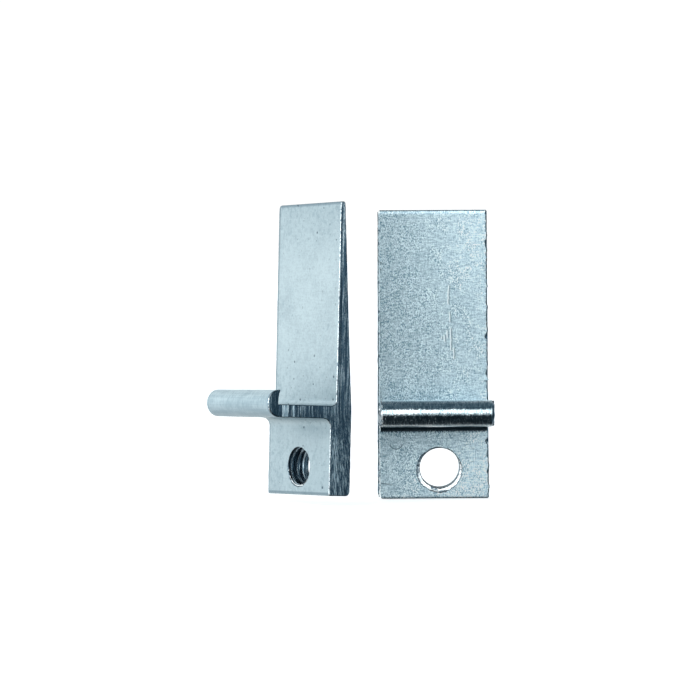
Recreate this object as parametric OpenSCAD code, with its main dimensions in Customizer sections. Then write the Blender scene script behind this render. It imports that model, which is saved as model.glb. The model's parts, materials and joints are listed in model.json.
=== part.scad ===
// Pair of hook-in door hinge leaves. Each leaf is a wedge plate sawn from a long section,
// with an arm and a half-round hinge pin across its front and an M8 tapped hole below them.
// Millimetres, Z up. The origin is where the axis of the right leaf's tapped hole meets that
// leaf's back face. The right leaf faces -Y. In a leaf's own frame X runs along the hinge
// pin from the middle of the leaf, Y = 0 is the back face and Z = 0 is the lower end.

/* [Leaf plate] */
// Width of a leaf, along the hinge pin
leaf_w = 19; // [15:0.5:30]
// Height of a leaf
leaf_h = 50; // [40:1:70]
// Thickness of the lower block that holds the tapped hole
block_t = 4.25; // [3.5:0.05:6]
// How far the wedge's front face is set back from the block's front face
front_step = 1.1; // [0.5:0.05:1.5]
// Thickness of the wedge at its upper end
tip_t = 0.9; // [0.8:0.05:2]
// Rounding of both edges of the upper end
tip_r = 0.3; // [0.1:0.05:0.35]
// Rounding of the lower end's back edge
heel_r = 0.8; // [0.2:0.1:1.5]

/* [Arm] */
// Height of the arm's underside above the lower end
arm_z = 13.1; // [12:0.1:16]
// Thickness of the arm
arm_t = 2.15; // [1.5:0.05:3]
// Distance from the leaf's back face to the hinge pin's axis
arm_reach = 14.9; // [12:0.1:20]
// Fillet between the block's front face and the arm's underside
lower_fillet_r = 1.5; // [0.5:0.1:2]
// Fillet between the arm's top and the wedge's front face
upper_fillet_r = 1; // [0.4:0.1:2]

/* [Hinge pin] */
// Radius of the half-round hinge pin
pin_r = 2.3; // [2:0.05:2.6]
// How far behind the pin's axis its flat side lies
pin_flat = 0.2; // [0:0.05:0.4]
// Depth of the shallow hollow along the pin's flat side
pin_hollow = 0.4; // [0.2:0.05:0.5]
// How far the pin stands past the leaf at one end, the right leaf's right-hand one
pin_proud = 0.3; // [0:0.05:0.5]

/* [Tapped hole] */
// Radius of the tapping bore, for M8
bore_r = 3.4; // [2.5:0.05:3.8]
// Radius of the bevel at the bore's front mouth
sink_r = 3.6; // [3.5:0.05:4.5]
// Right leaf: the bore's distance from the leaf's middle
right_bore_x = 1.1; // [-1.5:0.1:1.5]
// Right leaf: the bore's height above the lower end
right_bore_z = 5.3; // [5:0.1:7]
// Left leaf: the bore's distance from the leaf's middle
left_bore_x = 0; // [-1.5:0.1:1.5]
// Left leaf: the bore's height above the lower end
left_bore_z = 5; // [5:0.1:7]

/* [Left leaf's place] */
// Left leaf's lower end relative to the right leaf's, sideways
left_x = -20.1; // [-30:0.1:-20]
// Left leaf's lower end relative to the right leaf's, forwards
left_y = -9.3; // [-15:0.1:-5]
// Left leaf's lower end relative to the right leaf's, upwards
left_z = 1.2; // [0:0.1:3]
// Turn of the left leaf about the vertical
left_yaw = -56.8; // [-65:0.1:-50]
// Tilt of the left leaf about its own hinge pin's direction
left_pitch = -3.5; // [-5:0.1:0]
// Tilt of the left leaf sideways
left_roll = -2.15; // [-4:0.05:0]

/* [Hidden] */
$fn = 96;

steel = [0.66, 0.72, 0.78];
bright_steel = [0.74, 0.78, 0.83];

wedge_front = block_t - front_step;
bend_z = arm_z + arm_t / 2;
arm_top = arm_z + arm_t;
pin_z = arm_z + pin_r;
flat_x = pin_flat - arm_reach;
// Half the flat side's height, and the radius of the arc that hollows it from edge to edge
flat_half_h = sqrt(pin_r * pin_r - pin_flat * pin_flat);
hollow_r = (flat_half_h * flat_half_h + pin_hollow * pin_hollow) / (2 * pin_hollow);
sink_depth = sink_r - bore_r;
// How far a cut runs past a face, and how far joined shapes reach into each other
cut_over = 1;
overlap = 0.5;

// ---- The section that both leaves are sawn from, drawn with X to the back and Y upwards ----

// What lies between a square corner at [x, y] and a circle of radius r that touches both its
// sides, towards the signs sx, sy: a fillet where it is added, a rounded edge where it is cut
module corner_piece(x, y, r, sx, sy)
    translate([x, y]) mirror([sx < 0 ? 1 : 0, 0]) mirror([0, sy < 0 ? 1 : 0]) difference() {
        translate([-overlap, -overlap]) square(r + overlap);
        translate([r, r]) circle(r);
    }

// Wedge above, block below, and the back face that bends at the arm's height
module plate_section()
    difference() {
        polygon([
            [0, 0],
            [0, bend_z],
            [tip_t - wedge_front, leaf_h],
            [-wedge_front, leaf_h],
            [-wedge_front, bend_z],
            [-block_t, bend_z],
            [-block_t, 0],
        ]);
        corner_piece(0, 0, heel_r, -1, 1);
        corner_piece(-wedge_front, leaf_h, tip_r, 1, -1);
        corner_piece(tip_t - wedge_front, leaf_h, tip_r, -1, -1);
    }

// Circle whose arc is the hollow along the pin's flat side
module hollow_circle() translate([flat_x - pin_hollow + hollow_r, pin_z]) circle(hollow_r);

// Half-round bar whose flat side, towards the plate, is slightly hollow
module pin_section()
    difference() {
        translate([-arm_reach, pin_z]) circle(pin_r);
        translate([flat_x, arm_z]) square(2 * pin_r);
        hollow_circle();
    }

// Arm from the plate to the pin, whose hollow side its crowned end fills, and its two fillets
module arm_section() {
    translate([flat_x, arm_z]) square([-flat_x - wedge_front + overlap, arm_t]);
    intersection() {
        hollow_circle();
        translate([flat_x - pin_hollow, arm_z]) square([pin_hollow + overlap, arm_t]);
    }
    corner_piece(-block_t, arm_z, lower_fillet_r, -1, -1);
    corner_piece(-wedge_front, arm_top, upper_fillet_r, -1, 1);
}

// Turns a section into a bar that starts at the leaf's left-hand end, in the leaf's own frame
module sawn_length(length)
    rotate([90, 0, 90]) translate([0, 0, -leaf_w / 2]) linear_extrude(length) children();

// ---- Parts in a leaf's own frame ----

// Bore through the block, bevelled at its front mouth
module tapping_bore(x, z)
    translate([x, 0, z]) rotate([90, 0, 0]) {
        translate([0, 0, -cut_over]) cylinder(r = bore_r, h = block_t + 2 * cut_over);
        translate([0, 0, block_t - sink_depth])
            cylinder(r1 = bore_r, r2 = sink_r + cut_over, h = sink_depth + cut_over);
    }

module leaf(bore_x, bore_z)
    difference() {
        sawn_length(leaf_w) {
            plate_section();
            arm_section();
        }
        tapping_bore(bore_x, bore_z);
    }

module hinge_pin() sawn_length(leaf_w + pin_proud) pin_section();

// ---- Where the two leaves stand ----

module right_place() translate([-right_bore_x, 0, -right_bore_z]) children();

module left_place()
    right_place()
        translate([left_x, left_y, left_z])
            rotate([left_pitch, left_roll, left_yaw]) children();

// ---- Sub-parts ----

module right_leaf() color(steel) right_place() leaf(right_bore_x, right_bore_z);

module right_hinge_pin() color(bright_steel) right_place() hinge_pin();

module left_leaf() color(steel) left_place() leaf(left_bore_x, left_bore_z);

module left_hinge_pin() color(bright_steel) left_place() hinge_pin();

right_leaf();
right_hinge_pin();
left_leaf();
left_hinge_pin();
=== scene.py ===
"""Looks for the pair of door hinge leaves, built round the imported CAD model.

Each leaf is modelled in its own frame, in millimetres: X along the hinge pin from the leaf's
middle, Y = 0 at the back face, Z = 0 at the lower end. placement() turns that into the row frame.
"""
import json
import math

import bmesh
import bpy
from mathutils import Matrix, Vector, noise


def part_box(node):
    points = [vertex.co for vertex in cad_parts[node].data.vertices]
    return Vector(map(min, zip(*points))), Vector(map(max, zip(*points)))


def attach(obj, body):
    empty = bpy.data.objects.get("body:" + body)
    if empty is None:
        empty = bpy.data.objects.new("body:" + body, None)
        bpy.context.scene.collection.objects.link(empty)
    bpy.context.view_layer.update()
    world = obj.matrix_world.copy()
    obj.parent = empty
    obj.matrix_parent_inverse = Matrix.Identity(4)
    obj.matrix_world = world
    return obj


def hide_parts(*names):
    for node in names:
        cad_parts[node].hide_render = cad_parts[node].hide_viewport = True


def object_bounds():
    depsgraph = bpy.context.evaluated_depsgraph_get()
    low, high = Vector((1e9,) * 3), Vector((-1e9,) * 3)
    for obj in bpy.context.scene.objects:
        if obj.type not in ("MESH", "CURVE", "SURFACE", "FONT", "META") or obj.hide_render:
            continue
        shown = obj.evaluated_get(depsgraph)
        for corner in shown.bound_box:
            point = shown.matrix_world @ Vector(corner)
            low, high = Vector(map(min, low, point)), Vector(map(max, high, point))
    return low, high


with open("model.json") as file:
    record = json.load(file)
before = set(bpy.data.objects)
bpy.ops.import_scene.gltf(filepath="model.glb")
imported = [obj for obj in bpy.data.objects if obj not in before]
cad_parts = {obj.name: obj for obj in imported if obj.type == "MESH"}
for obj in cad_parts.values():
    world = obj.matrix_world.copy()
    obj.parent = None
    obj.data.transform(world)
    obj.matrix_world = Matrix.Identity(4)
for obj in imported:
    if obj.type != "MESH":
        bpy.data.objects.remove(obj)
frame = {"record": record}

CAD_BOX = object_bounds()
MM = 0.001

# ---- Driving sizes of a leaf, in millimetres, as the CAD section has them ----
LEAF_H = 50.0
BLOCK_T = 4.25
WEDGE_FRONT = 3.15
TIP_T, TIP_R, HEEL_R = 0.9, 0.3, 0.8
ARM_Z, ARM_T = 13.1, 2.15
LOWER_FILLET, UPPER_FILLET = 1.5, 1.0
PIN_AXIS_Y, PIN_R = -14.9, 2.3
PIN_FLAT, PIN_HOLLOW = 0.2, 0.4
BORE_Z = {"right": 5.3, "left": 5.0}
BORE_X = {"right": 1.1, "left": 0.0}

leaf_low, leaf_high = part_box("right_leaf")
LEAF_W = (leaf_high.x - leaf_low.x) / MM
LEAF_SPAN = (-LEAF_W / 2, LEAF_W / 2)
PIN_SPAN = (-LEAF_W / 2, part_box("right_hinge_pin")[1].x / MM + BORE_X["right"])
ARM_TOP = ARM_Z + ARM_T
BEND_Z = ARM_Z + ARM_T / 2
PIN_Z = ARM_Z + PIN_R
FLAT_Y = PIN_AXIS_Y + PIN_FLAT
FLAT_HALF = math.sqrt(PIN_R**2 - PIN_FLAT**2)
HOLLOW_R = (FLAT_HALF**2 + PIN_HOLLOW**2) / (2 * PIN_HOLLOW)
HOLLOW_Y = FLAT_Y - PIN_HOLLOW + HOLLOW_R

# ---- Details that only the visual model has, in millimetres ----
# Upper edge of the front face: how far it is worn back, and over what height
TIP_WORN, TIP_WORN_H = 0.08, 0.6

# Scratches up the right leaf's front: distance from its middle, lower and upper end
SCRATCHES = (
    (2.7, 33.4, 37.2), (3.1, 25.4, 29.8), (2.9, 30.3, 32.6), (2.5, 27.5, 29.4),
    (3.6, 23.9, 26.3), (2.0, 26.9, 28.6), (1.5, 27.4, 28.3),
)
# Notches in its right edge: height, half height and depth
NOTCHES = (
    (28.0, 0.35, 0.32), (10.0, 0.7, 0.38), (7.6, 0.3, 0.2),
    (4.6, 0.5, 0.18), (21.5, 0.4, 0.14), (44.0, 0.5, 0.12),
)
# Two marks low on its left: an arc's centre and radius, and a short line from one x to another at
# that depth below the arc's centre
ARC_MARK = (-6.5, 9.8, 1.15)
SHORT_MARK = (-8.6, -6.4, 7.4)

# Thread, taken as M8
THREAD_R, PITCH = 4.0, 1.25
BORE_R = {"right": 3.47, "left": 3.22}
THREAD_START = 5.25 * PITCH - BLOCK_T
# Shallow bevel at the front mouth: its widest radius, and how far its centre lies below the
# bore's axis and to the right of that axis
MOUTH_R = {"right": 3.95, "left": 3.4}
MOUTH_DROP = {"right": 0.28, "left": 0.28}
MOUTH_SIDE = {"right": -0.14, "left": 0.11}

STEP = 0.25          # spacing of outline points
SLIVER = 0.004       # smaller faces than this are merged away
STEEP_RIM = 1.7      # how much deeper a worn front edge is rubbed
FACES_FRONT = -0.7   # outline normals with a smaller Y than this face the front
STRIP_W = 0.16       # width of the strips that a sawn end is cut into
STRIP_LEAN = 0.012   # how much the strips lean
ROW_H = 1.4          # height of the rows that cross them
SLANT_TOP = 14.0     # below this height the saw's marks lean back
SHARP = math.radians(32)     # edges with a steeper angle than this stay sharp

# Zones of a piece, each with its own material slot
FACE, END, BORE, MOUTH, RIM_LEVEL, RIM_LEFT, RIM_RIGHT, OUTLINE = range(8)

# Strengths of the surroundings as the metal sees them
BOX_LIGHT, APRON_LIGHT, SIDE_LIGHT = 1.45, 0.4, 1.05
LOW_LIGHT, HIGH_LIGHT, RIGHT_LIGHT = 0.02, 0.13, 0.2

# Floor's radius and how far it lies below the leaves, in metres
FLOOR_R, FLOOR_GAP = 2.4, 0.0002


# ---- Where each leaf stands, from the record's mounts ----

def mount(name):
    return next(m for m in frame["record"]["mounts"] if m["name"] == name)


def placement(side):
    """Matrix from a leaf's own frame, in metres, to the row frame."""
    back = Vector(mount(side + "_back_face")["axis"])
    along = Vector(mount(side + "_pin")["axis"])
    up = along.cross(back)
    turn = Matrix((along, back, up)).transposed()
    bore = Vector(mount(side + "_tapped_hole")["pos_m"])
    own = Vector((BORE_X[side], 0, BORE_Z[side])) * MM
    return Matrix.Translation(bore - turn @ own) @ turn.to_4x4()


# ---- Outlines of the sawn section, (y, z) in millimetres, anticlockwise seen from +X ----

def arc(cy, cz, r, start, end, step=STEP):
    n = max(2, math.ceil(abs(end - start) * r / step))
    angles = [start + (end - start) * i / n for i in range(n + 1)]
    return [(cy + r * math.cos(a), cz + r * math.sin(a)) for a in angles]


def rounded(corners):
    """Outline through corners (y, z, radius), each rounded with an arc that touches both sides."""
    out = []
    count = len(corners)
    for i, (y, z, r) in enumerate(corners):
        if r == 0:
            out.append((y, z))
            continue
        v = Vector((y, z))
        a = (Vector(corners[i - 1][:2]) - v).normalized()
        b = (Vector(corners[(i + 1) % count][:2]) - v).normalized()
        half = a.angle(b) / 2
        reach = r / math.tan(half)
        centre = v + (a + b).normalized() * (r / math.sin(half))
        s, e = v + a * reach - centre, v + b * reach - centre
        start = math.atan2(s.y, s.x)
        sweep = (math.atan2(e.y, e.x) - start + math.pi) % (2 * math.pi) - math.pi
        out += arc(centre.x, centre.y, r, start, start + sweep, min(STEP, r / 3))
    return out


def spaced(outline, step=STEP):
    """The outline with points added along its long straight stretches."""
    out = []
    for (y0, z0), (y1, z1) in zip(outline, outline[1:] + outline[:1]):
        n = max(1, round(math.hypot(y1 - y0, z1 - z0) / step))
        out += [(y0 + (y1 - y0) * i / n, z0 + (z1 - z0) * i / n) for i in range(n)]
    return out


def hollow_points(z0, z1):
    """Points on the hollow side of the pin from height z0 to z1."""
    n = max(2, math.ceil(abs(z1 - z0) / STEP))
    heights = [z0 + (z1 - z0) * i / n for i in range(n + 1)]
    return [(HOLLOW_Y - math.sqrt(HOLLOW_R**2 - (z - PIN_Z) ** 2), z) for z in heights]


def leaf_outline():
    arm_end = hollow_points(ARM_TOP, ARM_Z)
    corners = [
        (-BLOCK_T, 0, 0.25), (0, 0, HEEL_R), (0, BEND_Z, 4),
        (TIP_T - WEDGE_FRONT, LEAF_H, TIP_R), (TIP_WORN - WEDGE_FRONT, LEAF_H, TIP_R),
        (-WEDGE_FRONT, LEAF_H - TIP_WORN_H, 1.5),
        (-WEDGE_FRONT, ARM_TOP, UPPER_FILLET),
    ]
    corners += [(y, z, 0) for y, z in arm_end]
    corners.append((-BLOCK_T, ARM_Z, LOWER_FILLET))
    return spaced(rounded(corners))


def pin_outline():
    tip = math.acos(PIN_FLAT / PIN_R)
    front = arc(PIN_AXIS_Y, PIN_Z, PIN_R, tip, 2 * math.pi - tip, 0.15)
    back = hollow_points(front[-1][1], front[0][1])
    return front + back[1:-1]


# ---- Sawn bars ----

def normals(outline):
    """Outward normals of an outline that runs anticlockwise, lengthened at its corners."""
    out = []
    for i, point in enumerate(outline):
        here = Vector(point)
        into = (here - Vector(outline[i - 1])).normalized()
        away = (Vector(outline[(i + 1) % len(outline)]) - here).normalized()
        d = (into + away).normalized()
        out.append(Vector((d.y, -d.x)) / max(0.55, d.dot(into)))
    return out


def ripple(y, z, seed):
    """Depth of the saw's marks on a sawn end: long grooves along Z that wander a little, and lean
    back low down."""
    lean = y - 0.13 * max(0.0, SLANT_TOP - z) + STRIP_LEAN * (z - 20)
    lean = lean + 0.25 * noise.noise(Vector((0, z * 0.06, seed)))
    fine = noise.noise(Vector((lean * 5.5, z * 0.1, seed)))
    coarse = noise.noise(Vector((lean * 2.1, z * 0.05, seed + 9)))
    outer = min(1.0, max(0.0, (-y - 9) / 3))
    return (0.035 + 0.03 * outer) * fine + 0.03 * coarse


def burr(s, end, seed):
    """Height of the burr at distance s round a sawn edge: mostly none, with ragged lips."""
    lip = noise.noise(Vector((s * 0.35, end * 7, seed)))
    rag = noise.noise(Vector((s * 1.7, end * 3, seed + 5)))
    return max(0.0, lip * 0.9 + rag * 0.8 - 0.12)


def corner_cut(z, top, bottom):
    """How much shorter an end is at height z, where its corners are rounded by those radii."""
    cut = 0.0
    for r, reach in ((top, z - LEAF_H + top), (bottom, bottom - z)):
        if reach > 0:
            cut = max(cut, r - math.sqrt(max(0.0, r * r - reach * reach)))
    return cut


def sawn_bar(name, outline, span, seed, edges, burr_h, leans=((0, 0), (0, 0)),
             corners=((0, 0), (0, 0)), worn=False, rags=(0.06, 0.06), notches=()):
    """A closed bar of that outline from span[0] to span[1] along X, with softened, burred and
    saw-marked ends. For each end, left then right, edges gives its softening, leans how far it
    stands out at the top and at the bottom, corners the rounding of its upper and lower corner,
    and rags how far its edge wanders. A worn bar's front edges are rubbed down further. Notches
    cut into the front edge of its right end."""
    bm = bmesh.new()
    nrm = normals(outline)
    rings = []

    def ring(x, inset, end, lip, lean):
        verts = []
        s = 0.0
        for i, (y, z) in enumerate(outline):
            before = outline[i - 1]
            s += math.hypot(y - before[0], z - before[1])
            front = nrm[i].x < FACES_FRONT
            steep = STEEP_RIM if worn and front else 1 + abs(nrm[i].y)
            out = lip * burr_h * burr(s, end, seed) - inset * steep
            wave = noise.noise(Vector((s * 0.8, end * 5, seed + 3)))
            wave = rags[end > 0] * (wave + 0.7 * noise.noise(Vector((s * 2.6, end * 5, seed + 4))))
            if end > 0 and front:
                wave -= sum(depth * math.exp(-(((z - at) / half) ** 2))
                            for at, half, depth in notches)
            wave *= min(1.0, lip / 0.8)
            stand = lean[1] + (lean[0] - lean[1]) * z / LEAF_H
            px = x + end * (wave + stand - corner_cut(z, *corners[end > 0]))
            verts.append(bm.verts.new((px, y + nrm[i].x * out, z + nrm[i].y * out)))
        rings.append(verts)

    for end in (-1, 1):
        e, lean, tip = edges[end > 0], leans[end > 0], span[end > 0]
        profile = [(0.9 + e, 0, 0), (0.5 + e, 0, 0.15), (e, 0, 0.8), (0.92 * e, 0.03 * e, 1.0),
                   (0.33 * e, 0.5 * e, 0.9), (0, 0.62 * e, 0.8)]
        if end < 0:
            profile.reverse()
        for depth, inset, lip in profile:
            ring(tip - end * depth, inset, end, lip, lean)
        if end < 0:
            for k in range(1, 8):
                ring(span[0] + (span[1] - span[0]) * k / 8, 0, 0, 0, lean)
    for k, (a, b) in enumerate(zip(rings, rings[1:])):
        rim = RIM_LEFT if k < 3 else RIM_RIGHT if k > len(rings) - 5 else FACE
        if k in (0, len(rings) - 2):
            rim = OUTLINE
        for i in range(len(outline)):
            face = bm.faces.new((a[i - 1], a[i], b[i], b[i - 1]))
            level = abs(nrm[i].y) > 0.7 and abs(nrm[i - 1].y) > 0.7
            face.material_index = RIM_LEVEL if rim and level and rim != OUTLINE else rim
    caps = [bm.faces.new(rings[0]), bm.faces.new(list(reversed(rings[-1])))]
    bmesh.ops.recalc_face_normals(bm, faces=bm.faces)
    for cap in caps:
        cap.material_index = END
        mark_end(bm, cap, seed)
    return to_object(bm, name)


def mark_end(bm, cap, seed):
    """Cuts a sawn end into narrow strips and gives them the saw's grooves."""
    side = 1 if cap.calc_center_median().x > 0 else -1
    ys = [v.co.y for v in cap.verts]
    zs = [v.co.z for v in cap.verts]
    faces = {cap}

    def cut(point, normal):
        nonlocal faces
        geom = list({v for f in faces for v in f.verts})
        geom += list({e for f in faces for e in f.edges})
        geom += list(faces)
        made = bmesh.ops.bisect_plane(bm, geom=geom, plane_co=point, plane_no=normal, dist=1e-5)
        faces |= {g for g in made["geom"] if isinstance(g, bmesh.types.BMFace)}
        faces = {f for f in faces if f.is_valid}

    y = min(ys) + STRIP_W
    while y < max(ys):
        cut((0, y, 0), (0, 1, STRIP_LEAN))
        y += STRIP_W
    z = min(zs) + ROW_H
    while z < max(zs):
        cut((0, 0, z), (0, 0, 1))
        z += ROW_H
    for v in {v for f in faces for v in f.verts}:
        v.co.x += side * ripple(v.co.y, v.co.z, seed + side)


def to_object(bm, name):
    mesh = bpy.data.meshes.new(name)
    bm.to_mesh(mesh)
    bm.free()
    obj = bpy.data.objects.new(name, mesh)
    bpy.context.scene.collection.objects.link(obj)
    return obj


# ---- Tapped hole ----

def thread_radius(t, y, bore_r):
    """Radius of the hole's wall at fraction t of the pitch. The first half turn is crushed and
    the last turn towards the back face is shallower, as a taper tap leaves it."""
    t %= 1
    cut = min(1.0, max(0.03, (-y - 0.2) / 1.4), max(0.03, (y + BLOCK_T - 0.1) / 0.4))
    root_r = bore_r + (THREAD_R - bore_r) * cut
    crest, root = 1 / 8, 7 / 16
    if t < crest or t > 1 - crest:
        return bore_r
    if root < t < 1 - root:
        return root_r
    rise = (t - crest) / (root - crest) if t < 0.5 else (1 - crest - t) / (root - crest)
    return bore_r + (root_r - bore_r) * rise


def thread_cutter(side):
    """Closed screw-shaped solid along Y through the block, longer than the block is thick."""
    x, z = BORE_X[side], BORE_Z[side]
    bm = bmesh.new()
    around, rows_per_turn = 96, 16
    turns = math.ceil((BLOCK_T + 3) / PITCH)
    rows = []
    for j in range((turns + 1) * rows_per_turn + 1):
        row = []
        for i in range(around):
            a = 2 * math.pi * i / around
            y = THREAD_START - (j / rows_per_turn + i / around) * PITCH
            r = thread_radius(j / rows_per_turn, y, BORE_R[side])
            row.append(bm.verts.new((x + r * math.cos(a), y, z + r * math.sin(a))))
        rows.append(row)
    last = len(rows) - 1 - rows_per_turn
    for j in range(last):
        for i in range(around - 1):
            bm.faces.new((rows[j][i], rows[j][i + 1], rows[j + 1][i + 1], rows[j + 1][i]))
        seam, onward = rows[j + rows_per_turn][0], rows[j + 1 + rows_per_turn][0]
        bm.faces.new((rows[j][-1], seam, onward, rows[j + 1][-1]))
    for j, y in ((0, THREAD_START + 2), (last, THREAD_START - (turns + 2) * PITCH)):
        loop = rows[j] + [rows[j + k][0] for k in range(rows_per_turn, 0, -1)]
        tip = bm.verts.new((x, y, z))
        for a, b in zip(loop, loop[1:] + loop[:1]):
            bm.faces.new((a, b, tip))
    for v in [v for v in bm.verts if not v.link_faces]:
        bm.verts.remove(v)
    for f in bm.faces:
        f.material_index = BORE
    bmesh.ops.recalc_face_normals(bm, faces=bm.faces)
    return to_object(bm, "thread_tool")


def mouth_cutter(side, seed):
    """Shallow ragged cone that bevels the bore's front mouth, more below than above."""
    x, z = BORE_X[side] + MOUTH_SIDE[side], BORE_Z[side] - MOUTH_DROP[side]
    inner = BORE_R[side] - MOUTH_DROP[side]
    outer = MOUTH_R[side]
    bm = bmesh.new()
    around = 120
    rims = []
    # Depth below the front face and radius of each ring, and the zone of each band between them
    steps = ((-0.4, outer), (0, outer), (0.1, outer - 0.13),
             (0.22, inner + 0.1), (0.45, inner), (0.46, inner - 0.5))
    zones = (BORE, OUTLINE, MOUTH, BORE, BORE)
    for depth, r in steps:
        rim = []
        for i in range(around):
            a = 2 * math.pi * i / around
            way = Vector((math.cos(a), math.sin(a), seed))
            rag = 0.13 * noise.noise(Vector((2.5 * way.x, 2.5 * way.y, seed)))
            rag += 0.11 * noise.noise(Vector((8 * way.x, 8 * way.y, seed + 2)))
            reach = r + rag
            rim.append(bm.verts.new((x + reach * way.x, depth - BLOCK_T, z + reach * way.y)))
        rims.append(rim)
    for k, (a, b) in enumerate(zip(rims, rims[1:])):
        for i in range(around):
            bm.faces.new((a[i - 1], a[i], b[i], b[i - 1])).material_index = zones[k]
    bm.faces.new(rims[0])
    bm.faces.new(rims[-1])
    bmesh.ops.recalc_face_normals(bm, faces=bm.faces)
    return to_object(bm, "mouth_tool")


def cut_away(obj, cutter):
    mod = obj.modifiers.new("cut", "BOOLEAN")
    mod.operation = "DIFFERENCE"
    mod.solver = "EXACT"
    mod.material_mode = "INDEX"
    mod.object = cutter
    bpy.context.view_layer.update()
    depsgraph = bpy.context.evaluated_depsgraph_get()
    mesh = bpy.data.meshes.new_from_object(obj.evaluated_get(depsgraph))
    obj.modifiers.clear()
    obj.data = mesh
    bpy.data.objects.remove(cutter)


# ---- Node helpers ----

class Net:
    """Short hand for building a node tree."""

    def __init__(self, tree):
        self.tree = tree
        tree.nodes.clear()

    def add(self, kind, **settings):
        n = self.tree.nodes.new(kind)
        for k, v in settings.items():
            setattr(n, k, v)
        return n

    def link(self, a, b):
        self.tree.links.new(a, b)

    def put(self, socket, value):
        if hasattr(value, "links"):
            self.link(value, socket)
        else:
            socket.default_value = value

    def math(self, op, a, b=0.0):
        n = self.add("ShaderNodeMath", operation=op)
        self.put(n.inputs[0], a)
        self.put(n.inputs[1], b)
        return n.outputs[0]

    def plus(self, a, b):
        return self.math("ADD", a, b)

    def minus(self, a, b):
        return self.math("SUBTRACT", a, b)

    def times(self, a, b):
        return self.math("MULTIPLY", a, b)

    def most(self, a, b):
        return self.math("MAXIMUM", a, b)

    def apart(self, a, b):
        """Distance between two values."""
        return self.math("ABSOLUTE", self.minus(a, b))

    def ramp(self, value, lo, hi, to_lo=0.0, to_hi=1.0, smooth=True):
        n = self.add("ShaderNodeMapRange", interpolation_type="SMOOTHSTEP" if smooth else "LINEAR")
        for i, v in enumerate((value, lo, hi, to_lo, to_hi)):
            self.put(n.inputs[i], v)
        return n.outputs[0]

    def mix(self, factor, a, b):
        n = self.add("ShaderNodeMix", data_type="RGBA")
        self.put(n.inputs[0], factor)
        self.put(n.inputs[6], (*a, 1) if isinstance(a, tuple) else a)
        self.put(n.inputs[7], (*b, 1) if isinstance(b, tuple) else b)
        return n.outputs[2]

    def split(self, coord):
        """X, Y and Z of a coordinate."""
        n = self.add("ShaderNodeSeparateXYZ")
        self.link(coord, n.inputs[0])
        return n.outputs[0], n.outputs[1], n.outputs[2]

    def stretched(self, coord, scale):
        n = self.add("ShaderNodeVectorMath", operation="MULTIPLY")
        self.link(coord, n.inputs[0])
        n.inputs[1].default_value = scale
        return n.outputs[0]

    def noise(self, coord, scale, detail=3.0, rough=0.5):
        n = self.add("ShaderNodeTexNoise")
        self.link(self.stretched(coord, scale), n.inputs["Vector"])
        n.inputs["Scale"].default_value = 1.0
        n.inputs["Detail"].default_value = detail
        n.inputs["Roughness"].default_value = rough
        return n.outputs["Fac"]

    def cells(self, coord, scale):
        """Distance to and colour of cells laid out over X and Z, shifted from depth to depth."""
        x, y, z = self.split(coord)
        flat = self.add("ShaderNodeCombineXYZ")
        self.link(self.plus(x, self.times(y, 2.7)), flat.inputs[0])
        self.link(z, flat.inputs[1])
        n = self.add("ShaderNodeTexVoronoi", voronoi_dimensions="2D")
        self.link(flat.outputs[0], n.inputs["Vector"])
        n.inputs["Scale"].default_value = scale
        return n.outputs["Distance"], n.outputs["Color"]

    def bump(self, height, distance):
        n = self.add("ShaderNodeBump")
        n.inputs["Strength"].default_value = 1.0
        n.inputs["Distance"].default_value = distance
        self.link(height, n.inputs["Height"])
        return n.outputs["Normal"]


def new_metal(name):
    """A metallic material's net, its own-frame coordinates in millimetres, and its shader."""
    mat = bpy.data.materials.new(name)
    mat.use_nodes = True
    net = Net(mat.node_tree)
    out = net.add("ShaderNodeOutputMaterial")
    shader = net.add("ShaderNodeBsdfPrincipled")
    shader.inputs["Metallic"].default_value = 1.0
    net.link(shader.outputs[0], out.inputs[0])
    coord = net.stretched(net.add("ShaderNodeTexCoord").outputs["Object"], (1000, 1000, 1000))
    return mat, net, coord, shader


# ---- Materials ----

def specks(net, co, scale, share, size):
    """Mask of small round specks: one may sit in each cell of that scale."""
    dist, col = net.cells(co, scale)
    sep = net.add("ShaderNodeSeparateColor")
    net.link(col, sep.inputs[0])
    reach = net.ramp(sep.outputs[0], 1 - share, 1.0, 0.0, size, smooth=False)
    return net.times(net.ramp(net.minus(reach, dist), -0.02, 0.04),
                    net.math("GREATER_THAN", sep.outputs[0], 1 - share))


def weighted(net, *pairs):
    total = net.times(*pairs[0])
    for value, weight in pairs[1:]:
        total = net.plus(total, net.times(value, weight))
    return total


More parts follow.
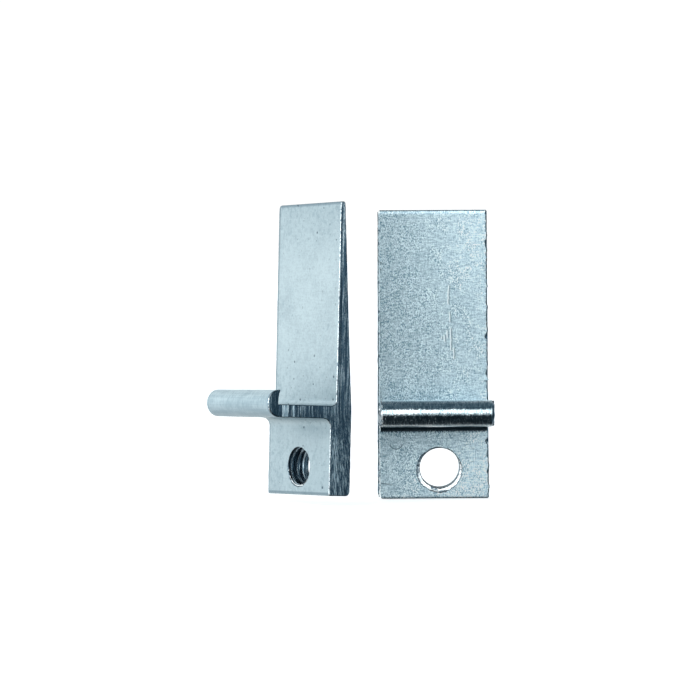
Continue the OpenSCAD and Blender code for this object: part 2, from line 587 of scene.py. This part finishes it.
def matt_face():
    """Left leaf: light, matt, faintly mottled, with small dark pits, painted shade just below the
    arm and painted dark lines along the edges of its face.
    """
    mat, net, co, sh = new_metal("matt_face")
    cloud = net.noise(co, (0.2, 0.2, 0.15), 3)
    blotch = net.noise(co, (1.0, 1.0, 0.8), 3, 0.6)
    grain = net.noise(co, (3.4, 3.4, 2.6), 3, 0.6)
    streak = net.noise(co, (0.5, 0.5, 5.0), 2)
    tone = weighted(net, (cloud, 0.22), (blotch, 0.2), (grain, 0.43), (streak, 0.15))
    light = net.mix(net.ramp(tone, 0.38, 0.60), (0.47, 0.56, 0.60), (0.61, 0.71, 0.745))
    stain = net.times(net.ramp(blotch, 0.56, 0.68), net.ramp(cloud, 0.55, 0.42))
    light = net.mix(net.times(stain, 0.45), light, (0.26, 0.36, 0.42))
    smudge_and_shade = net.ramp(net.noise(co, (1.5, 1.5, 1.1), 4, 0.7), 0.50, 0.64)
    pit = specks(net, co, 0.5, 0.28, 0.13)
    dots = specks(net, co, 1.4, 0.12, 0.18)
    x, _, z = net.split(co)
    worn = net.ramp(net.apart(z, 33.0), 4.0, 16.0)
    light = net.mix(net.times(worn, 0.26), light, (0.36, 0.46, 0.51))
    # Painted shade just below the arm on the lower face, stronger towards the near end and broken
    # up by the smudging noise
    below_arm_shade = net.times(net.ramp(z, 8.5, 12.4), net.ramp(z, 12.9, 12.5))
    below_arm_shade = net.times(below_arm_shade, net.ramp(x, -5.0, 5.0, 0.3, 1.0))
    below_arm_shade = net.times(below_arm_shade, net.ramp(smudge_and_shade, 0.0, 1.0, 0.30, 0.75, smooth=False))
    # The painted shade below the arm and the random smudges near the ends are laid on together
    smudge_and_shade = net.most(below_arm_shade, net.times(smudge_and_shade, net.times(worn, 0.38)))
    light = net.mix(smudge_and_shade, light, (0.24, 0.34, 0.39))
    low = net.times(net.ramp(z, 12.0, 0.0, 0.25, 1.0), net.ramp(x, -3.0, 8.0, 0.3, 1.0))
    low = net.times(low, net.ramp(z, 12.5, 12.0))
    light = net.mix(net.times(low, 0.22), light, (0.26, 0.36, 0.42))
    # Painted shade: dark lines along the face's far edge, its top and its bottom
    outline = net.most(net.ramp(x, -8.75, -9.25), net.ramp(z, 49.3, 49.75))
    outline = net.most(outline, net.ramp(net.apart(z, 0.35), 0.3, 0.1))
    light = net.mix(net.times(outline, 0.62), light, (0.14, 0.21, 0.26))
    marks = net.most(pit, net.times(dots, 0.6))
    marks = net.times(marks, net.ramp(worn, 0.0, 0.7, 0.3, 1.0))
    net.link(net.mix(net.times(marks, 0.85), light, (0.08, 0.12, 0.16)), sh.inputs["Base Color"])
    net.link(net.ramp(grain, 0.3, 0.7, 0.38, 0.50), sh.inputs["Roughness"])
    height = net.minus(weighted(net, (grain, 1.0), (blotch, 0.8)), marks)
    net.link(net.bump(height, 0.000022), sh.inputs["Normal"])
    return mat


def grainy_face():
    """Right leaf: blue-grey, finely grained, with painted light that makes it brighter towards its
    right-hand edge, upper corner and lower end, painted shade in the fillet below the arm, and a
    bundle of scratches along Z, drawn as bright lines beside painted shadow lines, with a few short
    ones below."""
    mat, net, co, sh = new_metal("grainy_face")
    x, y, z = net.split(co)
    cloud = net.noise(co, (0.22, 0.22, 0.14), 3)
    fine = net.noise(co, (5.0, 5.0, 4.0), 2, 0.7)
    across = net.noise(co, (0.9, 1.0, 4.5), 2, 0.6)
    along = net.noise(co, (4.5, 1.0, 0.7), 2, 0.6)
    patch = net.noise(co, (0.35, 0.35, 0.3), 2)
    depth = net.ramp(net.plus(patch, net.ramp(x, -9.5, 9.5, 0.08, -0.08)), 0.38, 0.62, 0.45, 1.25)
    grain = net.times(net.minus(net.ramp(fine, 0.30, 0.70), 0.5), depth)
    tone = weighted(net, (net.plus(grain, 0.5), 0.58), (net.ramp(across, 0.3, 0.7), 0.22),
                    (net.ramp(along, 0.3, 0.7), 0.12), (cloud, 0.08))
    base = net.mix(net.ramp(tone, 0.22, 0.78, smooth=False), (0.15, 0.26, 0.33), (0.72, 0.84, 0.88))
    # Painted light: the base is brightened towards the right-hand edge, the upper corner and the
    # lower end, with some random tone from the cloud noise
    corner = net.times(net.ramp(x, -6.0, 9.0), net.ramp(z, 30.0, 50.0))
    low_end = net.ramp(z, 13.0, 1.0)
    across_x = net.ramp(x, -9.5, 9.5, smooth=False)
    glow = weighted(net, (across_x, 0.82), (corner, 0.30), (cloud, 0.25), (low_end, 0.40))
    painted_light_gain = net.ramp(glow, 0.0, 1.2, 0.84, 1.62, smooth=False)
    painted_light_base = net.add("ShaderNodeMix", data_type="RGBA", blend_type="MULTIPLY", clamp_result=True)
    painted_light_base.inputs[0].default_value = 1.0
    net.link(base, painted_light_base.inputs[6])
    tint = net.add("ShaderNodeCombineColor")
    for i, share in enumerate((1.0, 0.93, 0.90)):
        net.link(net.plus(net.times(painted_light_gain, share), 1.0 - share), tint.inputs[i])
    net.link(tint.outputs[0], painted_light_base.inputs[7])
    # Scratches: each is a bright line, partly bright metal and partly painted highlight, beside a
    # painted shadow line
    wander = net.plus(x, net.times(net.noise(co, (0.1, 0.1, 0.7), 2), 0.5))
    scratch_highlight, shadow = 0.0, 0.0
    for at, start, end in SCRATCHES:
        span = net.times(net.ramp(z, start, start + 0.5), net.ramp(z, end - 0.5, end, 1.0, 0.0))
        for offset, light in ((0.0, True), (0.22, False)):
            off = net.apart(wander, at + 0.25 + offset)
            line = net.times(net.ramp(off, 0.06, 0.15, 1.0, 0.0), span)
            if light:
                scratch_highlight = net.most(line, scratch_highlight)
            else:
                shadow = net.most(line, shadow)
    flecks = net.noise(co, (1.1, 1.0, 7.0), 1)
    nick = net.times(net.ramp(flecks, 0.70, 0.76), net.ramp(z, 11.0, 9.0))
    from_x, from_z = net.minus(x, ARC_MARK[0]), net.minus(z, ARC_MARK[1])
    squares = net.plus(net.math("POWER", from_x, 2.0), net.math("POWER", from_z, 2.0))
    away = net.math("SQRT", squares)
    arc_mark = net.ramp(net.apart(away, ARC_MARK[2]), 0.05, 0.14, 1.0, 0.0)
    arc_mark = net.times(arc_mark, net.ramp(from_z, -0.2, -0.5))
    drop = net.plus(from_z, net.times(from_x, 0.12))
    short_mark = net.ramp(net.math("ABSOLUTE", net.plus(drop, SHORT_MARK[2])), 0.06, 0.16, 1.0, 0.0)
    short_mark = net.times(short_mark, net.ramp(x, SHORT_MARK[0], SHORT_MARK[1], 1.0, 0.0))
    marked = net.most(nick, net.most(arc_mark, short_mark))
    front = net.math("LESS_THAN", y, -BLOCK_T / 2)
    shadow = net.times(shadow, net.times(front, 0.7))
    scratch_highlight = net.times(scratch_highlight, net.times(front, 0.95))
    shade = net.mix(shadow, painted_light_base.outputs[2], (0.16, 0.25, 0.31))
    shade = net.mix(scratch_highlight, shade, (0.92, 0.99, 1.0))
    shade = net.mix(net.times(net.times(marked, front), 0.85), shade, (0.10, 0.16, 0.20))
    # Painted shade in the fillet below the arm, darkening the front there; the fillet is also made
    # smoother
    fillet_shade = net.times(net.ramp(z, 11.2, 11.9), net.ramp(z, 13.0, 13.2, 1.0, 0.0))
    fillet_shade = net.times(fillet_shade, front)
    shade = net.mix(net.times(fillet_shade, 0.6), shade, (0.12, 0.18, 0.22))
    net.link(shade, sh.inputs["Base Color"])
    rough = net.ramp(fine, 0.3, 0.7, 0.30, 0.42)
    net.link(net.minus(rough, net.times(fillet_shade, 0.16)), sh.inputs["Roughness"])
    net.link(net.bump(fine, 0.000022), sh.inputs["Normal"])
    return mat


def sawn_end(name, dark, light):
    """Sawn ends: dark, with bright striations along Z that lean back and are finer low down."""
    mat, net, co, sh = new_metal(name)
    x, y, z = net.split(co)
    leaned = net.add("ShaderNodeCombineXYZ")
    slant = net.ramp(z, SLANT_TOP, 0.0, 0.0, 1.9, smooth=False)
    for i, part in enumerate((x, net.minus(y, slant), z)):
        net.link(part, leaned.inputs[i])
    long_line = net.noise(leaned.outputs[0], (0.2, 5.5, 0.16), 3, 0.75)
    short_line = net.noise(leaned.outputs[0], (0.2, 7.0, 0.5), 2, 0.75)
    short_line = net.ramp(short_line, 0.3, 0.7, 0.17, 0.93, smooth=False)
    low = net.ramp(z, 15.0, 8.0, 0.0, 0.6)
    line = net.plus(net.times(long_line, net.minus(1.0, low)),
                    net.times(short_line, low))
    broad = net.noise(co, (0.2, 1.7, 0.08), 2)
    speck = net.noise(co, (0.2, 5.0, 3.0), 2)
    cloud = net.noise(co, (0.2, 0.5, 0.22), 2)
    outer = net.ramp(y, -12.2, -11.0, 1.0, 0.0)
    tone = weighted(net, (line, 0.58), (broad, 0.14), (speck, 0.16), (cloud, 0.12))
    tone = net.minus(tone, net.ramp(z, 0.0, 48.0, 0.010, 0.015, smooth=False))
    tone = net.minus(tone, net.times(low, net.ramp(y, -2.8, -0.8, 0.0, 0.07)))
    # Painted highlights: bright stripes on the saw's ridges at the outer end, near the pin
    ridge_highlight = net.ramp(net.noise(co, (0.2, 1.9, 0.02), 0), 0.50, 0.60, -0.02, 0.16)
    spread = net.ramp(net.plus(tone, net.times(outer, ridge_highlight)), 0.475, 0.605)
    net.link(net.mix(spread, dark, light), sh.inputs["Base Color"])
    net.link(net.ramp(line, 0.3, 0.7, 0.25, 0.40), sh.inputs["Roughness"])
    net.link(net.bump(weighted(net, (line, 1.0), (speck, 0.3)), 0.00010), sh.inputs["Normal"])
    return mat


def painted_edge(name, nick, rubbed, share):
    """Narrow softened edges of the sawn ends in one flat tone: bright copies are painted
    highlights, dark copies painted shade. Broken by nicks over that share.
    """
    mat, net, co, sh = new_metal(name)
    nicks = net.noise(co, (0.6, 1.6, 1.6), 3, 0.7)
    net.link(net.mix(net.ramp(nicks, share, share + 0.1), nick, rubbed), sh.inputs["Base Color"])
    net.link(net.ramp(nicks, 0.3, 0.7, 0.34, 0.24), sh.inputs["Roughness"])
    net.link(net.bump(nicks, 0.00006), sh.inputs["Normal"])
    return mat


def painted_edge_shade(name):
    """Painted shade: a dark, dull line along the sharpest edges, broken by gaps of plain metal."""
    mat, net, co, sh = new_metal(name)
    gaps = net.noise(co, (1.1, 1.1, 1.1), 3, 0.7)
    bare = net.ramp(gaps, 0.52, 0.60)
    net.link(net.mix(bare, (0.035, 0.055, 0.075), (0.42, 0.52, 0.58)), sh.inputs["Base Color"])
    net.link(bare, sh.inputs["Metallic"])
    net.link(net.ramp(bare, 0.0, 1.0, 0.8, 0.45), sh.inputs["Roughness"])
    sh.inputs["Specular IOR Level"].default_value = 0.1
    net.link(net.bump(gaps, 0.00003), sh.inputs["Normal"])
    return mat


def cut_thread(name):
    """Thread walls: dark from painted shade, with fine tool rings that follow the hole."""
    mat, net, co, sh = new_metal(name)
    rings = net.noise(co, (0.8, 9.0, 0.8), 3)
    shade = net.mix(net.ramp(rings, 0.35, 0.65), (0.09, 0.13, 0.16), (0.38, 0.46, 0.51))
    net.link(shade, sh.inputs["Base Color"])
    sh.inputs["Roughness"].default_value = 0.24
    net.link(net.bump(rings, 0.00002), sh.inputs["Normal"])
    return mat


def pin_metal(name, dark, light, rough, waviness, shade_and_stain=0.0):
    """Drawn hinge pin: fine lines along it and fine ragged turning marks across them. The last
    argument sets how much painted shade darkens its lower side, along with random stains, and how
    dark a band just inside its right end is."""
    mat, net, co, sh = new_metal(name)
    lines = net.noise(co, (0.12, 5.0, 5.0), 4, 0.6)
    turned = net.noise(co, (4.4, 1.2, 1.2), 2, 0.6)
    cloud = net.noise(co, (0.35, 0.6, 0.6), 3)
    tone = weighted(net, (lines, 0.3), (cloud, 0.25), (turned, 0.45))
    x, _, z = net.split(co)
    # Painted shade on the pin's lower side, merged with random stains, and a dark band just inside
    # its right end
    lower = net.ramp(z, PIN_Z + 0.8 * PIN_R, PIN_Z - 0.8 * PIN_R)
    stain = net.times(net.ramp(net.noise(co, (0.25, 1.2, 1.2), 3), 0.52, 0.66), 0.6)
    lower = net.times(net.most(lower, stain), shade_and_stain)
    lip = net.ramp(net.apart(x, PIN_SPAN[1] - 0.3), 0.2, 0.1)
    lower = net.most(lower, net.times(lip, 2 * shade_and_stain))
    shade = net.mix(net.ramp(tone, 0.40, 0.60), dark, light)
    net.link(net.mix(lower, shade, (0.20, 0.31, 0.40)), sh.inputs["Base Color"])
    net.link(net.ramp(turned, 0.3, 0.7, rough * 0.8, rough * 1.2), sh.inputs["Roughness"])
    height = weighted(net, (turned, waviness), (lines, 0.10))
    net.link(net.bump(height, 0.00006), sh.inputs["Normal"])
    return mat


# ---- Pieces ----

def mend(bm):
    """Turns all faces into triangles and merges away slivers, with the doubled faces they leave."""
    bmesh.ops.triangulate(bm, faces=bm.faces)
    for _ in range(2):
        bmesh.ops.remove_doubles(bm, verts=bm.verts, dist=SLIVER)
        bmesh.ops.dissolve_degenerate(bm, dist=SLIVER, edges=bm.edges)
        bmesh.ops.triangulate(bm, faces=bm.faces)
        bm.verts.index_update()
        corners = {}
        for f in bm.faces:
            corners.setdefault(tuple(sorted(v.index for v in f.verts)), []).append(f)
        doubled = [f for same in corners.values() if len(same) > 1 for f in same]
        bmesh.ops.delete(bm, geom=doubled, context="FACES")


def finish_mesh(obj):
    """Slivers removed, smooth faces, and sharp edges where faces meet at a steep angle."""
    bm = bmesh.new()
    bm.from_mesh(obj.data)
    mend(bm)
    bmesh.ops.scale(bm, vec=(MM, MM, MM), verts=bm.verts)
    for f in bm.faces:
        f.smooth = True
    for e in bm.edges:
        e.smooth = len(e.link_faces) == 2 and e.calc_face_angle(0) < SHARP
    bm.to_mesh(obj.data)
    bm.free()


def add_leaf(side, seed, materials, **shape):
    obj = sawn_bar("leaf_" + side, leaf_outline(), LEAF_SPAN, seed, **shape)
    for m in materials:
        obj.data.materials.append(m)
    cut_away(obj, thread_cutter(side))
    cut_away(obj, mouth_cutter(side, seed))
    finish_mesh(obj)
    place(obj, side, side + "_leaf")


def add_pin(side, seed, materials, edges):
    obj = sawn_bar("pin_" + side, pin_outline(), PIN_SPAN, seed, edges, 0.05)
    for m in materials:
        obj.data.materials.append(m)
    finish_mesh(obj)
    place(obj, side, side + "_hinge_pin")


def place(obj, side, node):
    obj.matrix_world = placement(side)
    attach(obj, side)
    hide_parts(node)


SAWN = sawn_end("sawn_end", (0.06, 0.105, 0.145), (0.70, 0.81, 0.85))
SAWN_PIN = sawn_end("sawn_pin_end", (0.04, 0.08, 0.11), (0.40, 0.50, 0.55))
THREAD = cut_thread("cut_thread")
# Lit and shaded copies of one edge material: the bright ones are painted highlights on the softened
# edges and round the left leaf's bore mouth, the darker ones painted shade
MOUTH_HIGHLIGHT = painted_edge("mouth_highlight", (0.45, 0.52, 0.57), (0.95, 0.98, 0.99), 0.36)
BRIGHT = painted_edge("bright_edge", (0.20, 0.27, 0.32), (0.93, 0.97, 0.98), 0.38)
HALF_SHADED = painted_edge("half_shaded_edge", (0.10, 0.15, 0.19), (0.36, 0.45, 0.50), 0.45)
SHADED = painted_edge("shaded_edge", (0.03, 0.06, 0.09), (0.12, 0.17, 0.21), 0.45)
# Painted shade on an edge, broken by dashes of painted highlight
BROKEN = painted_edge("broken_edge", (0.05, 0.08, 0.11), (0.85, 0.93, 0.95), 0.5)
RIGHT_PIN = pin_metal("bright_pin", (0.40, 0.52, 0.58), (0.90, 0.95, 0.97), 0.13, 1.25)
LEFT_PIN = pin_metal("matt_pin", (0.43, 0.54, 0.59), (0.64, 0.75, 0.79), 0.42, 0.15, 0.38)
# Painted highlight round the right leaf's bore mouth, broken by nicks
NICKED_MOUTH_HIGHLIGHT = painted_edge("nicked_mouth_highlight", (0.12, 0.18, 0.22), (0.95, 0.98, 0.99), 0.40)
# Painted shade: a dark line along the outermost edges of the ends and round the bore's mouth
EDGE_SHADE = painted_edge_shade("edge_shade")
# Each piece takes a seed and one material for each zone
add_leaf(
    "right", 11, (grainy_face(), SAWN, THREAD, NICKED_MOUTH_HIGHLIGHT, SHADED, BRIGHT, BROKEN, EDGE_SHADE),
    edges=(0.36, 0.20), burr_h=0.10, leans=((-0.05, 0.06), (-0.1, 0.12)),
    corners=((0, 0.45), (0, 0)), worn=True, rags=(0.07, 0.22), notches=NOTCHES,
)
add_pin(
    "right", 23, (RIGHT_PIN, SAWN_PIN, THREAD, THREAD, SHADED, BRIGHT, SHADED, EDGE_SHADE),
    edges=(0.22, 0.4),
)
add_leaf(
    "left", 37, (matt_face(), SAWN, THREAD, MOUTH_HIGHLIGHT, SHADED, HALF_SHADED, BRIGHT, SHADED),
    edges=(0.2, 0.10), burr_h=0.07, leans=((0.15, -0.15), (0, 0)),
    corners=((0.6, 0.2), (0.2, 0)),
)
add_pin(
    "left", 41, (LEFT_PIN, SAWN_PIN, THREAD, THREAD, HALF_SHADED, HALF_SHADED, BRIGHT, SHADED),
    edges=(0.25, 0.14),
)


# ---- Stage, light and camera ----

def stage_floor():
    bm = bmesh.new()
    bmesh.ops.create_circle(bm, cap_ends=True, segments=96, radius=FLOOR_R)
    obj = to_object(bm, "floor")
    obj.location.z = CAD_BOX[0].z - FLOOR_GAP
    mat = bpy.data.materials.new("pale_floor")
    mat.use_nodes = True
    net = Net(mat.node_tree)
    out = net.add("ShaderNodeOutputMaterial")
    lit = net.add("ShaderNodeBsdfDiffuse")
    lit.inputs[0].default_value = (0.9, 0.9, 0.9, 1)
    glow = net.add("ShaderNodeEmission")
    glow.inputs["Color"].default_value = (1, 1, 1, 1)
    glow.inputs["Strength"].default_value = 0.68
    both = net.add("ShaderNodeAddShader")
    net.link(lit.outputs[0], both.inputs[0])
    net.link(glow.outputs[0], both.inputs[1])
    net.link(both.outputs[0], out.inputs[0])
    obj.data.materials.append(mat)
    obj.visible_glossy = False


def studio_light():
    """Soft light from the left and from behind, a wide softbox in front with a dimmer apron
    below it, and cool dim surroundings overhead, to the right and low in front."""
    world = bpy.data.worlds.new("studio")
    bpy.context.scene.world = world
    world.use_nodes = True
    net = Net(world.node_tree)
    out = net.add("ShaderNodeOutputWorld")
    x, y, z = net.split(net.add("ShaderNodeTexCoord").outputs["Generated"])
    left = net.ramp(net.plus(net.times(x, -0.92), net.times(y, 0.38)), -0.05, 0.5)
    back = net.ramp(y, 0.1, 0.6)
    sides = net.most(left, back)
    sides = net.times(sides, net.ramp(z, 0.45, 0.95, 1.0, 0.2))
    sides = net.times(sides, net.ramp(z, -0.95, -0.5, 0.35, 1.0))
    forward = net.times(net.ramp(y, -0.45, -0.15, 1.0, 0.0), net.ramp(x, 0.45, 0.8, 1.0, 0.0))
    box = net.times(net.ramp(z, 0.03, 0.08), net.ramp(z, 0.50, 0.64, 1.0, 0.0))
    apron = net.times(net.ramp(z, -0.26, -0.12), net.ramp(z, 0.50, 0.64, 1.0, 0.0))
    lit = net.plus(net.times(box, BOX_LIGHT), net.times(apron, APRON_LIGHT))
    key = net.plus(net.times(lit, forward), net.times(sides, SIDE_LIGHT))
    dim = net.ramp(z, -0.4, 0.1, LOW_LIGHT, HIGH_LIGHT)
    dim = net.plus(dim, net.times(net.ramp(x, 0.3, 0.9), RIGHT_LIGHT))
    cool = net.add("ShaderNodeBackground")
    cool.inputs["Color"].default_value = (0.45, 0.77, 1.0, 1)
    net.link(dim, cool.inputs["Strength"])
    bright = net.add("ShaderNodeBackground")
    bright.inputs["Color"].default_value = (0.96, 1.0, 1.0, 1)
    net.link(key, bright.inputs["Strength"])
    metal_sees = net.add("ShaderNodeAddShader")
    net.link(cool.outputs[0], metal_sees.inputs[0])
    net.link(bright.outputs[0], metal_sees.inputs[1])
    backdrop = net.add("ShaderNodeBackground")
    backdrop.inputs["Color"].default_value = (1, 1, 1, 1)
    backdrop.inputs["Strength"].default_value = 1.05
    mix = net.add("ShaderNodeMixShader")
    net.link(net.add("ShaderNodeLightPath").outputs["Is Camera Ray"], mix.inputs[0])
    net.link(metal_sees.outputs[0], mix.inputs[1])
    net.link(backdrop.outputs[0], mix.inputs[2])
    net.link(mix.outputs[0], out.inputs[0])


def camera():
    """Camera nearly square to the right leaf's front, aimed between the two leaves."""
    azimuth, elevation, roll = map(math.radians, (1.46, 2.35, -0.3))
    distance, lens = 0.6434, 190.08
    target = placement("right") @ (Vector((-14.28, 0, 25.7)) * MM)
    level = math.cos(elevation)
    back = Vector((-math.sin(azimuth) * level, -math.cos(azimuth) * level, math.sin(elevation)))
    data = bpy.data.cameras.new("camera")
    data.sensor_width = 36
    data.lens = lens
    data.clip_start, data.clip_end = 0.01, 10
    cam = bpy.data.objects.new("camera", data)
    bpy.context.scene.collection.objects.link(cam)
    cam.location = target + back * distance
    cam.rotation_mode = "QUATERNION"
    rolled = Matrix.Rotation(roll, 4, "Z").to_quaternion()
    cam.rotation_quaternion = (-back).to_track_quat("-Z", "Y") @ rolled
    bpy.context.scene.camera = cam


stage_floor()
studio_light()
camera()
bpy.context.scene.view_settings.view_transform = "Standard"
